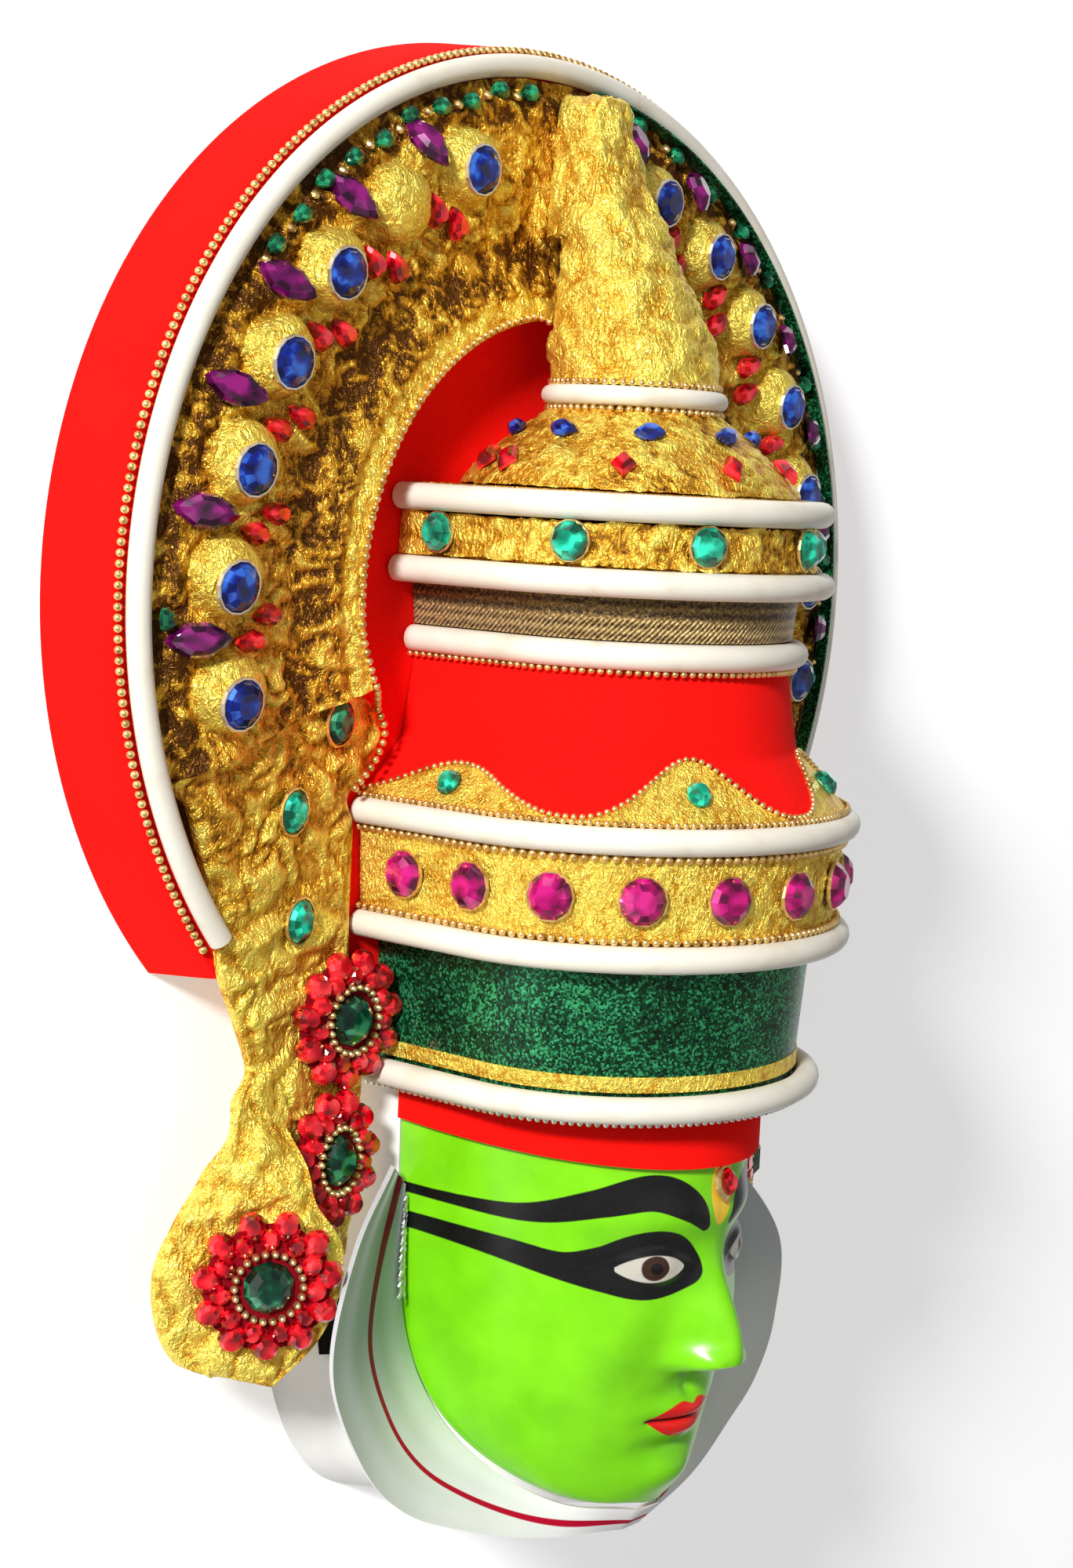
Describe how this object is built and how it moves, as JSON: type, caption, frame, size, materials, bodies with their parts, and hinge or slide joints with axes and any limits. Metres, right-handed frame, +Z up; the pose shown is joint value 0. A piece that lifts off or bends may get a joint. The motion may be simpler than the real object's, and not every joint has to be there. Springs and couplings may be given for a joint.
{
  "type": "kathakali mask",
  "caption": "Painted dance mask with a green face, a tiered round crown, a red-rimmed gold halo disc, gold side wings and a white paper frame round the jaw",
  "frame": {"origin": "centre of the underside of the bounding box, with the mask lying on its back", "axes": "+X to the right of someone looking at the face, +Y from the chin to the top of the crown, +Z up out of the face"},
  "size_m": [0.3378, 0.4626, 0.1435],
  "materials": {
    "gold_foil": "thin crumpled gold-coloured foil over a light body",
    "brocade": "woven gold-brown brocade",
    "red_felt": "bright red felt",
    "ivory_piping": "satin ivory piping",
    "brown_board": "plain brown board",
    "green_glitter": "dark green glitter cloth",
    "lime_paint": "glossy lime green paint",
    "white_paint": "plain white paint",
    "chin_paper": "stiff white paper with a thin dark red line",
    "ruby_glass": "cut magenta stone",
    "red_stones": "small cut red stones round a dark green one"
  },
  "bodies": {
    "root": {"back_board": "brown_board", "brocade_tier": "brocade", "chin_frame": "chin_paper", "dome_seat": "gold_foil", "dome_tier": "gold_foil", "face": "lime_paint", "finial": "gold_foil", "forehead_band": "red_felt", "gem_tier": "gold_foil", "green_tier": "green_glitter", "halo_board": "gold_foil", "halo_piping": "ivory_piping", "halo_rim": "red_felt", "jaw_shell": "white_paint", "pendant_left": "gold_foil", "pendant_right": "gold_foil", "recess_panel": "red_felt", "red_tier": "red_felt", "ring_1": "ivory_piping", "ring_2": "ivory_piping", "ring_3": "ivory_piping", "ring_4": "ivory_piping", "ring_5": "ivory_piping", "ring_6": "ivory_piping", "ring_top": "ivory_piping", "rosette_lower_left": "red_stones", "rosette_lower_right": "red_stones", "rosette_middle_left": "red_stones", "rosette_middle_right": "red_stones", "rosette_upper_left": "red_stones", "rosette_upper_right": "red_stones", "ruby_01": "ruby_glass", "ruby_02": "ruby_glass", "ruby_03": "ruby_glass", "ruby_04": "ruby_glass", "ruby_05": "ruby_glass", "ruby_06": "ruby_glass", "ruby_07": "ruby_glass", "ruby_08": "ruby_glass", "ruby_09": "ruby_glass", "ruby_10": "ruby_glass", "ruby_11": "ruby_glass", "ruby_tier": "gold_foil", "wing_left": "gold_foil", "wing_right": "gold_foil"}
  },
  "joints": []
}
